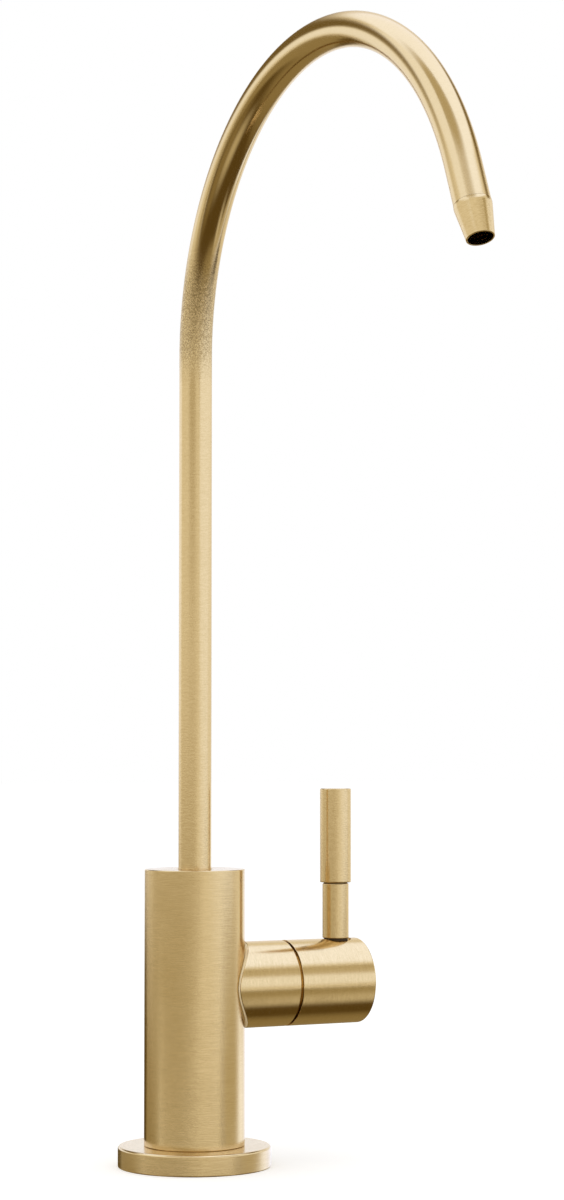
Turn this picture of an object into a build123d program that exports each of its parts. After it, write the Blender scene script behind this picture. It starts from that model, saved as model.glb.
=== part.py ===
from build123d import *
from math import cos, radians, sin, sqrt
import os

# Drinking water faucet: a turning gooseneck spout on an upright body, with a lever valve on its side.
# Millimetres. +Z is up, and the origin is the centre of the flange's underside, where the deck begins.
# The spout reaches towards -Y at rest, and the valve and its lever lie along +X.

# Room in the fits
running_gap = 0.05  # beside a turning, sliding or screwed piece
seal_gap = 0.03  # each side of a seal ring
face_gap = 0.02  # between faces that slide on each other
cover_gap = 0.3  # between a turning cover and a fixed one
skirt_gap = 0.05  # between the collar's saddle and the body

# Deck flange
flange_radius = 22.0
flange_height = 6.0
flange_chamfer = 0.45
gasket_thickness = 1.5
gasket_width = 5.0
gasket_inset = 2.0  # flange rim outside the gasket

# Upright body
body_radius = 14.5
body_chamfer = 0.25
valve_above_flange = 45.2
body_seal_section = 1.8
body_seal_rim = 2.5  # body wall outside its foot seal

# Spout tube, 3/8 inch outside, and its bend
tube_diameter = 9.525
tube_wall = 0.8
riser_height = 148.4  # straight tube above the body
bend_radius = 77.5
bend_angle = 158.0
end_run = 10.8
tube_in_body = 9.0
mouth_gap = 0.45  # dark ring around the tube in the body's top face
mouth_depth = 2.0

# Nozzle and the straightener in it
nozzle_length = 9.8
nozzle_land = 1.0  # straight part before the taper
nozzle_top_radius = 4.85
nozzle_tip_radius = 3.6
nozzle_rim = 0.4
nozzle_chamfer = 0.2
spigot_clear = 2.5  # straight tube left above the spigot
straightener_length = 4.5
straightener_wall = 0.4
straightener_wall_count = 3
nozzle_step = 0.3  # ledge that the straightener rests on

# Insert in the foot of the spout, with its rings
insert_length = 14.7
insert_bore_radius = 2.6
insert_plug_length = 8.0
clip_height = 1.1
clip_bite = 0.85  # how far the clip stands out into the body
clip_seat_depth = 0.85  # how far it sits in the insert
clip_split = 2.4
clip_foot = 1.2  # insert below its clip groove
spout_seal_section = 1.3
seal_spacing = 4.0
slip_ring_height = 2.2
slip_ring_depth = 0.55
slip_ring_split = 0.85
slip_ring_lean = 30.0

# Side valve, along its own axis from the column's axis outwards
collar_inset = 2.0  # how much narrower the collar is than the body
collar_wall = 1.2
collar_end = 28.25
collar_chamfer = 0.15
saddle_lip = 0.6
seam_gap = 0.85
hub_length = 24.1
hub_chamfer = 0.35
hub_skirt_depth = 1.6
hub_end_wall = 3.6
cartridge_bore_radius = 8.2
seat_floor = -1.5
pocket_lip = 0.4  # pocket wall left at the body's sides
pocket_margin = 0.7  # from the pocket's wall to the collar's bore
bore_roof = 1.6  # metal between the cartridge and the spout bore
web_thickness = 2.0

# Cartridge
seat_seal_height = 2.2
seat_seal_radius = 6.2
seat_seal_bore = 2.9
disc_thickness = 2.5
disc_radius = 6.5
port_radius = 2.0
port_offset = 3.5
tang_width = 2.4
tang_depth = 1.0
driver_thickness = 2.2
driver_width = 6.5
thrust_washer_thickness = 0.6
sleeve_wall = 0.85
relief_start = 1.0  # full-size land at the sleeve's inner end
cartridge_gasket_thickness = 0.8
neck_radius = 6.5
neck_spare = 1.6  # neck beyond its nut
spindle_radius = 3.9
spindle_seal_section = 1.0
spindle_flat_depth = 0.9
spindle_clip_height = 1.0
spindle_clip_bite = 1.5
collar_nut_flats = 16.0
collar_nut_height = 4.0

# Lever
lever_inset = 6.8  # from the hub's end to the lever's axis
lever_rise = 0.1  # stem foot above the hub's crest
stem_radius = 3.9
stem_length = 16.05
stem_chamfer = 0.15
grip_radius = 4.6
grip_length = 27.7
grip_chamfer = 0.25
grip_groove = 0.35
grip_neck_radius = 3.55  # in the groove between stem and grip
grip_pin_radius = 2.9
grip_pin_length = 10.0
stud_radius = 2.4
stud_in_stem = 8.0
recess_radius = 4.5
recess_depth = 0.8
stem_washer_radius = 3.5

# Water ways in the body
inlet_way_radius = 2.2
inlet_wall = 1.5
outlet_way_radius = 1.8
outlet_way_inset = 0.4  # spout floor outside the outlet's way
transfer_height = 3.0

# Shank, 7/16 inch, and the deck that it clamps
shank_diameter = 11.11
shank_bore_radius = 2.8
shank_in_body = 14.0
shank_seal_thickness = 1.0
shank_chamfer = 0.5
deck_thickness = 30.0
rubber_washer_radius = 13.0
rubber_washer_thickness = 2.0
steel_washer_radius = 13.5
steel_washer_thickness = 1.2
lock_washer_radius = 8.9
lock_washer_thickness = 1.8
lock_washer_split = 1.6
lock_washer_lean = 25.0
nut_flats = 17.46
nut_height = 6.5
spare_thread = 2.0

# Push-fit inlet for 1/4 inch tubing
supply_tube_diameter = 6.35
adapter_flats = 16.0
adapter_grip_length = 11.5
adapter_washer_thickness = 1.5
adapter_washer_bore = 3.0
adapter_stop_wall = 3.4
stop_bore_radius = 2.4
socket_length = 6.0
adapter_wall = 2.3
tube_seal_section = 1.75
collet_wall = 1.05
collet_barb = 0.6
collet_barb_height = 3.0
collet_travel = 1.2
collet_flange_radius = 6.2
collet_flange_height = 1.4
collet_slot = 0.8
collet_slot_count = 4
collet_ring_height = 2.5

# Sizes that follow from the ones above
tube_radius = tube_diameter / 2
tube_bore = tube_radius - tube_wall
valve_height = flange_height + valve_above_flange
collar_radius = body_radius - collar_inset
collar_bore = collar_radius - collar_wall
pocket_radius = collar_bore - pocket_margin
pocket_floor = sqrt(body_radius**2 - pocket_radius**2) - pocket_lip
spout_bore = tube_radius + running_gap
spout_floor = valve_height + cartridge_bore_radius + bore_roof
insert_foot = spout_floor + cover_gap
tube_foot = insert_foot + insert_length
body_top = tube_foot + tube_in_body
bend_start = body_top + riser_height
shank_radius = shank_diameter / 2
screw_bore = shank_radius + running_gap
shank_top = flange_height + shank_in_body
socket_top = shank_top + shank_seal_thickness

# Places along the valve's axis
disc_start = seat_floor + seat_seal_height
moving_start = disc_start + disc_thickness + face_gap
driver_start = moving_start + disc_thickness + face_gap
washer_start = driver_start + driver_thickness + face_gap
sleeve_floor = washer_start + thrust_washer_thickness + face_gap
sleeve_bore = disc_radius + running_gap
sleeve_radius = cartridge_bore_radius - running_gap
flange_start = pocket_floor + cartridge_gasket_thickness
neck_start = body_radius + cover_gap
web_start = neck_start + face_gap
collar_nut_start = web_start + web_thickness + face_gap
neck_end = collar_nut_start + collar_nut_height + neck_spare
spindle_clip_start = neck_end + cover_gap
hub_start = collar_end + seam_gap
hub_skirt_start = collar_end - hub_skirt_depth
hub_end = hub_start + hub_length
spindle_end = hub_end - hub_end_wall
lever_place = hub_end - lever_inset
inlet_way = seat_floor - inlet_wall - inlet_way_radius

# Heights above the valve's axis, along the lever
recess_floor = collar_radius - recess_depth
stem_foot = collar_radius + lever_rise
stem_top = stem_foot + stem_length
grip_foot = stem_top + grip_groove
grip_top = grip_foot + grip_length
spindle_flat = spindle_radius - spindle_flat_depth

# Heights below the deck's surface
rubber_washer_top = -deck_thickness
steel_washer_top = rubber_washer_top - rubber_washer_thickness
lock_washer_top = steel_washer_top - steel_washer_thickness
nut_top = lock_washer_top - lock_washer_thickness
adapter_top = nut_top - nut_height - spare_thread
shank_end = adapter_top - adapter_grip_length
stop_top = shank_end - adapter_washer_thickness
stop_foot = stop_top - adapter_stop_wall
supply_bore = supply_tube_diameter / 2 + running_gap
socket_end = stop_foot - socket_length
seal_bore = supply_bore + tube_seal_section
collet_bore = supply_bore + collet_wall + collet_barb + running_gap
barb_top = socket_end - tube_seal_section - cover_gap - collet_travel
barb_foot = barb_top - collet_barb_height
collet_ring_top = barb_foot - running_gap
adapter_end = collet_ring_top - collet_ring_height
collet_flange_top = adapter_end - collet_travel - cover_gap


def rod(radius, low, high):
    """A round bar along +Z, between two heights."""
    return Pos(0, 0, low) * Cylinder(radius, high - low, align=(Align.CENTER, Align.CENTER, Align.MIN))


def ring(outer, inner, low, high):
    return rod(outer, low, high) - rod(inner, low, high)


def block(width, depth, low, high):
    """A square block along +Z, between two heights."""
    return Pos(0, 0, low) * Box(width, depth, high - low, align=(Align.CENTER, Align.CENTER, Align.MIN))


def turned(profile):
    """A turned piece from its half outline, as pairs of radius and height."""
    outline = Polyline(*[(radius, 0, height) for radius, height in profile], close=True)
    return revolve(make_face(outline), Axis.Z)


def chamfered_rod(radius, low, high, low_chamfer, high_chamfer):
    return turned([
        (0, low),
        (radius - low_chamfer, low),
        (radius, low + low_chamfer),
        (radius, high - high_chamfer),
        (radius - high_chamfer, high),
        (0, high),
    ])


def seal_ring(inner_wall, outer_wall, middle):
    """A round-section ring between two walls, clear of both by the seal gap."""
    section = (outer_wall - inner_wall) / 2 - seal_gap
    return Pos(0, 0, middle) * Torus((outer_wall + inner_wall) / 2, section)


def split_ring(outer, inner, low, high, split, lean=0):
    """A flat ring with one cut through its +Y side, leaning if asked."""
    cut = Box(split, 2 * outer, 4 * (high - low), align=(Align.CENTER, Align.MIN, Align.CENTER))
    return ring(outer, inner, low, high) - Pos(0, 0, (low + high) / 2) * Rot(0, lean, 0) * cut


def hexagon(flats, low, high):
    """A hexagon bar whose corners are rounded off by a shallow cone at both ends."""
    corner = flats / sqrt(3)
    bevel = (corner - flats / 2) / 2
    bar = extrude(RegularPolygon(flats / 2, 6, major_radius=False), high - low)
    return (Pos(0, 0, low) * bar) & turned([
        (0, low),
        (flats / 2, low),
        (corner, low + bevel),
        (corner, high - bevel),
        (flats / 2, high),
        (0, high),
    ])


def on_valve(shape):
    """Lays a piece modelled upright along the valve's axis, its +X side facing up."""
    return Plane((0, 0, valve_height), x_dir=(0, 0, 1), z_dir=(1, 0, 0)) * shape


def on_lever(shape):
    """Stands a piece on the valve's axis where the lever is."""
    return Pos(lever_place, 0, valve_height) * shape


def spout_path():
    """Centre line of the spout: up, over the bend and down the last straight run."""
    foot = Vector(0, 0, tube_foot)
    start = Vector(0, 0, bend_start)
    centre = start + Vector(0, -bend_radius, 0)
    half = radians(bend_angle / 2)
    full = radians(bend_angle)
    middle = centre + Vector(0, cos(half), sin(half)) * bend_radius
    finish = centre + Vector(0, cos(full), sin(full)) * bend_radius
    heading = Vector(0, -sin(full), cos(full))
    tip = finish + heading * end_run
    path = Wire([
        Line(foot, start).edge(),
        ThreePointArc(start, middle, finish).edge(),
        Line(finish, tip).edge(),
    ])
    return path, tip, heading


def at_outlet(shape):
    """Puts a piece modelled upright on the end of the spout, its +Z pointing out of it."""
    tip, heading = spout_path()[1:]
    return Plane(tip, x_dir=(1, 0, 0), z_dir=heading) * shape


def make_base_flange():
    flange = chamfered_rod(flange_radius, 0, flange_height, flange_chamfer, flange_chamfer)
    gasket_rim = flange_radius - gasket_inset
    seat = ring(gasket_rim, gasket_rim - gasket_width, 0, gasket_thickness)
    return flange - seat - rod(screw_bore + running_gap, 0, flange_height)


def make_deck_gasket():
    outer = flange_radius - gasket_inset - running_gap
    return ring(outer, outer - gasket_width + 2 * running_gap, 0, gasket_thickness - face_gap)


def make_body_seal():
    outer = body_radius - body_seal_rim
    return seal_ring(outer - body_seal_section, outer, flange_height + body_seal_section / 2)


def make_valve_body():
    body = chamfered_rod(body_radius, flange_height, body_top, body_chamfer, body_chamfer)
    groove_rim = body_radius - body_seal_rim
    groove_top = flange_height + body_seal_section
    body -= ring(groove_rim, groove_rim - body_seal_section, flange_height, groove_top)
    body -= rod(screw_bore, flange_height, socket_top)
    body -= rod(spout_bore, spout_floor, body_top)
    body -= rod(tube_radius + mouth_gap, body_top - mouth_depth, body_top)
    clip_low = insert_foot + clip_foot
    body -= rod(spout_bore + clip_bite, clip_low, clip_low + clip_height + 2 * running_gap)
    body -= on_valve(rod(cartridge_bore_radius, seat_floor, body_radius))
    body -= on_valve(rod(pocket_radius, pocket_floor, body_radius))
    body -= on_valve(rod(seat_seal_bore, inlet_way, seat_floor))
    body -= Pos(inlet_way, 0, 0) * rod(inlet_way_radius, socket_top, valve_height)
    transfer = SlotCenterToCenter(-inlet_way, 2 * inlet_way_radius)
    body -= Pos(inlet_way / 2, 0, socket_top) * extrude(transfer, transfer_height)
    outlet_way = spout_bore - outlet_way_radius - outlet_way_inset
    body -= Pos(outlet_way, 0, 0) * rod(outlet_way_radius, valve_height, spout_floor)
    return body


def make_spout_tube():
    path = spout_path()[0]
    section = Pos(0, 0, tube_foot) * (Circle(tube_radius) - Circle(tube_bore))
    return sweep(section, path=path)


def make_spout_insert():
    insert = rod(tube_radius - running_gap, insert_foot, tube_foot)
    insert += rod(tube_bore - running_gap, tube_foot, tube_foot + insert_plug_length)
    clip_low = insert_foot + clip_foot
    clip_wall = tube_radius - running_gap - clip_seat_depth
    insert -= ring(spout_bore, clip_wall, clip_low, clip_low + clip_height + 2 * running_gap)
    for middle in spout_seal_heights():
        low = middle - spout_seal_section / 2 - running_gap
        high = middle + spout_seal_section / 2 + running_gap
        insert -= ring(spout_bore, spout_bore - spout_seal_section, low, high)
    slip_low = tube_foot - slip_ring_height
    insert -= ring(spout_bore, tube_radius - slip_ring_depth, slip_low, tube_foot)
    return insert - rod(insert_bore_radius, insert_foot, tube_foot + insert_plug_length)


def spout_seal_heights():
    first = insert_foot + clip_foot + clip_height + spout_seal_section + clip_foot / 2
    return [first, first + seal_spacing]


def make_spout_seals():
    inner_wall = spout_bore - spout_seal_section
    return Compound(children=[seal_ring(inner_wall, spout_bore, middle) for middle in spout_seal_heights()])


def make_spout_clip():
    low = insert_foot + clip_foot + running_gap
    outer = spout_bore + clip_bite - running_gap
    inner = tube_radius - clip_seat_depth
    return split_ring(outer, inner, low, low + clip_height, clip_split)


def make_slip_ring():
    low = tube_foot - slip_ring_height + face_gap
    inner = tube_radius - slip_ring_depth + face_gap
    return split_ring(tube_radius, inner, low, tube_foot - face_gap, slip_ring_split, slip_ring_lean)


def make_outlet_nozzle():
    spigot_top = -(end_run - spigot_clear)
    spigot_radius = tube_bore - running_gap
    straightener_bore = nozzle_tip_radius - nozzle_rim + nozzle_step / 2
    nozzle = turned([
        (0, spigot_top),
        (spigot_radius, spigot_top),
        (spigot_radius, 0),
        (nozzle_top_radius - nozzle_chamfer, 0),
        (nozzle_top_radius, nozzle_chamfer),
        (nozzle_top_radius, nozzle_land),
        (nozzle_tip_radius, nozzle_length),
        (0, nozzle_length),
    ])
    ledge = spigot_top + straightener_length + face_gap
    nozzle -= rod(straightener_bore, spigot_top, ledge)
    nozzle -= rod(straightener_bore - nozzle_step, ledge, nozzle_length)
    nozzle -= rod(nozzle_tip_radius - nozzle_rim, 0, nozzle_length)
    return at_outlet(nozzle)


def make_straightener():
    """A short ring with a star of thin walls that steadies the stream."""
    low = -(end_run - spigot_clear)
    outer = nozzle_tip_radius - nozzle_rim + nozzle_step / 2 - running_gap
    high = low + straightener_length
    piece = ring(outer, outer - straightener_wall, low, high)
    wall = block(2 * outer - straightener_wall, straightener_wall, low, high)
    for number in range(straightener_wall_count):
        piece += Rot(0, 0, number * 180 / straightener_wall_count) * wall
    return at_outlet(piece)


def make_valve_collar():
    start = body_radius / 2
    tip = collar_end - collar_chamfer
    shell = turned([
        (0, start),
        (collar_radius, start),
        (collar_radius, tip),
        (collar_radius - collar_chamfer, collar_end),
        (0, collar_end),
    ])
    shell -= rod(collar_bore, start, web_start)
    shell -= rod(collar_bore, web_start + web_thickness, collar_end)
    shell -= rod(neck_radius + running_gap, start, collar_end)
    collar = on_valve(shell) - rod(body_radius + skirt_gap, 0, body_top)
    saddle = collar.edges().filter_by(GeomType.BSPLINE).group_by(SortBy.LENGTH)[-1]
    return chamfer(saddle, saddle_lip)


def make_cartridge_housing():
    housing = rod(sleeve_radius, disc_start + face_gap, flange_start)
    housing += rod(pocket_radius - cover_gap, flange_start, neck_start)
    housing += rod(neck_radius, neck_start, neck_end)
    relief_radius = sleeve_bore + sleeve_wall
    housing -= ring(sleeve_radius + running_gap, relief_radius, disc_start + relief_start, sleeve_floor)
    housing -= rod(sleeve_bore, disc_start, sleeve_floor)
    housing -= rod(spindle_radius + running_gap, sleeve_floor, neck_end)
    window = block(driver_width, 4 * sleeve_radius, driver_start, driver_start + driver_thickness)
    return on_valve(housing - window)


def make_cartridge_gasket():
    outer = pocket_radius - cover_gap
    inner = sleeve_radius + running_gap
    return on_valve(ring(outer, inner, pocket_floor + face_gap, flange_start - face_gap))


def make_seat_seal():
    return on_valve(ring(seat_seal_radius, seat_seal_bore, seat_floor + face_gap, disc_start - face_gap))


def ports():
    """The two ports through a ceramic disc, above and below the valve's axis."""
    hole = rod(port_radius, disc_start - disc_thickness, driver_start + disc_thickness)
    return Pos(port_offset, 0, 0) * hole + Pos(-port_offset, 0, 0) * hole


def make_fixed_disc():
    return on_valve(rod(disc_radius, disc_start, disc_start + disc_thickness) - ports())


def make_moving_disc():
    """Its ports lie a quarter turn from the fixed disc's while the lever stands upright."""
    disc_end = moving_start + disc_thickness
    slot = block(tang_width, 4 * disc_radius, disc_end - tang_depth, disc_end)
    disc = rod(disc_radius, moving_start, disc_end)
    return on_valve(disc - Rot(0, 0, 90) * (ports() + slot))


def make_thrust_washer():
    low = washer_start
    return on_valve(ring(disc_radius, spindle_radius + running_gap, low, low + thrust_washer_thickness))


def make_spindle():
    driver_end = driver_start + driver_thickness
    tang_start = driver_start - tang_depth
    driver = block(driver_width, 2 * disc_radius, driver_start, driver_end)
    driver += block(tang_width - 2 * running_gap, 2 * disc_radius, tang_start, driver_start)
    driver &= rod(disc_radius - running_gap, tang_start, driver_end)
    shaft = chamfered_rod(spindle_radius, driver_start + face_gap, spindle_end, stem_chamfer, stem_chamfer)
    spindle = Rot(0, 0, 90) * driver + shaft
    groove_floor = spindle_radius + running_gap - spindle_seal_section
    low = spindle_seal_middle() - spindle_seal_section / 2 - running_gap
    spindle -= ring(spindle_radius, groove_floor, low, low + spindle_seal_section + 2 * running_gap)
    clip_end = spindle_clip_start + spindle_clip_height + 2 * running_gap
    spindle -= ring(spindle_radius, spindle_radius - spindle_flat_depth, spindle_clip_start, clip_end)
    flat_start = lever_place - 2 * stud_radius
    flat = block(2 * spindle_radius, 2 * spindle_radius, flat_start, spindle_end)
    return on_valve(spindle - Pos(spindle_flat + spindle_radius, 0, 0) * flat)


def spindle_seal_middle():
    return (neck_start + neck_end) / 2


def make_spindle_seal():
    outer = spindle_radius + running_gap
    return on_valve(seal_ring(outer - spindle_seal_section, outer, spindle_seal_middle()))


def make_spindle_clip():
    low = spindle_clip_start + running_gap
    outer = spindle_radius + spindle_clip_bite
    inner = spindle_radius - spindle_flat_depth + running_gap
    return on_valve(split_ring(outer, inner, low, low + spindle_clip_height, clip_split))


def make_collar_nut():
    nut = hexagon(collar_nut_flats, collar_nut_start, collar_nut_start + collar_nut_height)
    return on_valve(nut - rod(neck_radius + running_gap, collar_nut_start, neck_end))


def make_handle_hub():
    hub = chamfered_rod(collar_radius, hub_start, hub_end, collar_chamfer, hub_chamfer)
    hub += rod(collar_bore - cover_gap, hub_skirt_start, hub_start)
    hub -= rod(spindle_radius + running_gap, hub_skirt_start, spindle_end + cover_gap)
    hub = on_valve(hub)
    hub -= on_lever(rod(stud_radius + running_gap, 0, collar_radius))
    return hub - on_lever(rod(recess_radius, recess_floor, collar_radius))


def make_lever_stud():
    return on_lever(rod(stud_radius, spindle_flat + running_gap, stem_foot + stud_in_stem))


def make_stem_washer():
    """A soft ring in the hub's recess, on which the stem is screwed tight."""
    inner = stud_radius + running_gap
    return on_lever(ring(stem_washer_radius, inner, recess_floor + face_gap, stem_foot - face_gap))


def make_lever_stem():
    stem = chamfered_rod(stem_radius, stem_foot, stem_top, stem_chamfer, stem_chamfer)
    stem += rod(grip_neck_radius, stem_top, grip_foot - face_gap)
    stem += rod(grip_pin_radius, stem_top, grip_foot + grip_pin_length)
    hole = rod(stud_radius + running_gap, stem_foot, stem_foot + stud_in_stem + running_gap)
    return on_lever(stem - hole)


def make_lever_grip():
    grip = chamfered_rod(grip_radius, grip_foot, grip_top, grip_chamfer, grip_chamfer)
    hole = rod(grip_pin_radius + running_gap, grip_foot, grip_foot + grip_pin_length + running_gap)
    return on_lever(grip - hole)


def make_shank():
    shank = chamfered_rod(shank_radius, shank_end, shank_top, shank_chamfer, shank_chamfer)
    return shank - rod(shank_bore_radius, shank_end, shank_top)


def make_shank_seal():
    return ring(shank_radius, shank_bore_radius, shank_top + face_gap, socket_top - face_gap)


def make_rubber_washer():
    return ring(rubber_washer_radius, screw_bore, steel_washer_top, rubber_washer_top)


def make_steel_washer():
    return ring(steel_washer_radius, screw_bore, lock_washer_top, steel_washer_top)


def make_lock_washer():
    split, lean = lock_washer_split, lock_washer_lean
    return split_ring(lock_washer_radius, screw_bore, nut_top, lock_washer_top, split, lean)


def make_mounting_nut():
    nut = hexagon(nut_flats, nut_top - nut_height, nut_top)
    return nut - rod(screw_bore, nut_top - nut_height, nut_top)


def make_inlet_adapter():
    """Hexagon with a female thread at its top, and a round push-fit socket below."""
    adapter = hexagon(adapter_flats, stop_foot, adapter_top)
    socket_radius = collet_bore + adapter_wall
    adapter += chamfered_rod(socket_radius, adapter_end, stop_foot, shank_chamfer, shank_chamfer)
    adapter -= rod(screw_bore, stop_top, adapter_top)
    adapter -= rod(stop_bore_radius, stop_foot, stop_top)
    adapter -= rod(supply_bore, socket_end, stop_foot)
    adapter -= rod(seal_bore, socket_end - tube_seal_section - running_gap, socket_end)
    return adapter - rod(collet_bore, adapter_end, socket_end - tube_seal_section - running_gap)


def make_adapter_washer():
    return ring(shank_radius, adapter_washer_bore, stop_top + face_gap, shank_end - face_gap)


def make_tube_seal():
    middle = socket_end - tube_seal_section / 2
    return seal_ring(supply_bore, seal_bore, middle)


def make_collet_ring():
    inner = supply_bore + collet_wall + running_gap
    return ring(collet_bore - face_gap, inner, adapter_end, collet_ring_top)


def make_collet():
    """A split sleeve that grips the tubing, kept in by its shoulder and let go by pushing its flange."""
    collet_foot = collet_flange_top - collet_flange_height
    sleeve = supply_bore + collet_wall
    collet = rod(sleeve, collet_foot, barb_top)
    collet += rod(sleeve + collet_barb, barb_foot, barb_top)
    collet += rod(collet_flange_radius, collet_foot, collet_flange_top)
    slot = Pos(0, 0, adapter_end) * Box(
        collet_slot,
        sleeve + 2 * collet_barb,
        barb_top - adapter_end,
        align=(Align.CENTER, Align.MIN, Align.MIN),
    )
    for number in range(collet_slot_count):
        collet -= Rot(0, 0, number * 360 / collet_slot_count) * slot
    return collet - rod(supply_bore, collet_foot, barb_top)


pieces = {
    "base_flange": make_base_flange(),
    "deck_gasket": make_deck_gasket(),
    "body_seal": make_body_seal(),
    "valve_body": make_valve_body(),
    "spout_tube": make_spout_tube(),
    "spout_insert": make_spout_insert(),
    "spout_seals": make_spout_seals(),
    "spout_clip": make_spout_clip(),
    "spout_slip_ring": make_slip_ring(),
    "outlet_nozzle": make_outlet_nozzle(),
    "flow_straightener": make_straightener(),
    "valve_collar": make_valve_collar(),
    "cartridge_housing": make_cartridge_housing(),
    "cartridge_gasket": make_cartridge_gasket(),
    "seat_seal": make_seat_seal(),
    "fixed_disc": make_fixed_disc(),
    "moving_disc": make_moving_disc(),
    "thrust_washer": make_thrust_washer(),
    "cartridge_spindle": make_spindle(),
    "spindle_seal": make_spindle_seal(),
    "spindle_clip": make_spindle_clip(),
    "collar_nut": make_collar_nut(),
    "handle_hub": make_handle_hub(),
    "lever_stud": make_lever_stud(),
    "stem_washer": make_stem_washer(),
    "lever_stem": make_lever_stem(),
    "lever_grip": make_lever_grip(),
    "mounting_shank": make_shank(),
    "shank_seal": make_shank_seal(),
    "rubber_washer": make_rubber_washer(),
    "steel_washer": make_steel_washer(),
    "lock_washer": make_lock_washer(),
    "mounting_nut": make_mounting_nut(),
    "inlet_adapter": make_inlet_adapter(),
    "adapter_washer": make_adapter_washer(),
    "tube_seal": make_tube_seal(),
    "collet_ring": make_collet_ring(),
    "collet": make_collet(),
}

os.makedirs("parts", exist_ok=True)
for name, piece in pieces.items():
    export_step(piece, f"parts/{name}.step")
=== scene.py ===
from math import atan2, cos, hypot, pi, radians, sin, sqrt, tan, tau

import bmesh
import bpy
from mathutils import Matrix, Vector


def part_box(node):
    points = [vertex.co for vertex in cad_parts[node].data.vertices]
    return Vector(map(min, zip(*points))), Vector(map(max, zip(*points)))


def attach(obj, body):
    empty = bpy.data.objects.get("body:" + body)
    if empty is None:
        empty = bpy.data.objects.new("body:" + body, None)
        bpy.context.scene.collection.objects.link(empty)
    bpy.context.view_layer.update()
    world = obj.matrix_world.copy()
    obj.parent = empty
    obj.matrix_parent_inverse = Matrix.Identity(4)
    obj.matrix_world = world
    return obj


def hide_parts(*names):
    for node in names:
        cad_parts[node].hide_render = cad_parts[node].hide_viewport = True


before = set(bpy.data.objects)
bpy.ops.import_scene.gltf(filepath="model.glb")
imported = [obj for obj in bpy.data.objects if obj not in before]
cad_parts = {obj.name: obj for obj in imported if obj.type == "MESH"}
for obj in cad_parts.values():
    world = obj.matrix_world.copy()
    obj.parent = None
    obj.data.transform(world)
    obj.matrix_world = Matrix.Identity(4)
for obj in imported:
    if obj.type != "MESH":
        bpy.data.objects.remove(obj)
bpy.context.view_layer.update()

# Drinking water faucet. Sizes are in millimetres, and a finished piece's mesh is scaled to metres.
# The deck's surface is z = 0, the column stands on +Z, the valve lies along +X and the spout reaches to -Y.
mm = 0.001


def box_of(node):
    """Lowest and highest corner of a node of the frame, in millimetres."""
    low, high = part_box(node)
    return low / mm, high / mm


# Boxes read from the frame
flange_low, flange_high = box_of("base_flange")
gasket_low, gasket_high = box_of("deck_gasket")
body_low, body_high = box_of("valve_body")
tube_low, tube_high = box_of("spout_tube")
collar_high = box_of("valve_collar")[1]
hub_low, hub_high = box_of("handle_hub")
stem_low, stem_high = box_of("lever_stem")
washer_low, washer_high = box_of("stem_washer")
grip_low, grip_high = box_of("lever_grip")
shank_low, shank_high = box_of("mounting_shank")
rubber_low, rubber_high = box_of("rubber_washer")
steel_low, steel_high = box_of("steel_washer")
lock_low, lock_high = box_of("lock_washer")
nut_low, nut_high = box_of("mounting_nut")
adapter_low, adapter_high = box_of("inlet_adapter")
collet_low, collet_high = box_of("collet")

# Sizes that several pieces share
body_radius = body_high.y
tube_radius = tube_high.x
valve_radius = hub_high.y
valve_height = (hub_low.z + hub_high.z) / 2
lever_place = (grip_low.x + grip_high.x) / 2
gap = 0.05                            # beside a turning, sliding or screwed piece
face_gap = 0.02                       # between faces that lie on each other
screw_bore = shank_high.x + gap       # round the shank
stud_bore = 2.4 + gap                 # round the stud, in hub, washer and stem
gasket_groove = 5                     # width of the groove in the flange's underside
supply_bore = 6.35 / 2 + gap          # round the 1/4 inch tubing, in adapter and collet

# The spout's bend
tube_wall = 0.8
bend_radius = 77.5
bend_angle = radians(158)
bend_start = 233.4
end_run = 10.8
bend_middle = Vector((0, -bend_radius, bend_start))
spout_heading = Vector((0, -sin(bend_angle), cos(bend_angle)))
bend_finish = bend_middle + Vector((0, cos(bend_angle), sin(bend_angle))) * bend_radius
spout_tip = bend_finish + spout_heading * end_run

# Where turned pieces stand, from their own upright places to the faucet's
on_column = Matrix.Identity(4)
on_valve = Matrix.Translation((0, 0, valve_height)) @ Matrix.Rotation(pi / 2, 4, "Y")
on_lever = Matrix.Translation((lever_place, 0, 0))
on_outlet = Matrix.Translation(spout_tip) @ spout_heading.to_track_quat("Z", "X").to_matrix().to_4x4()


# Shader nodes

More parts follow.
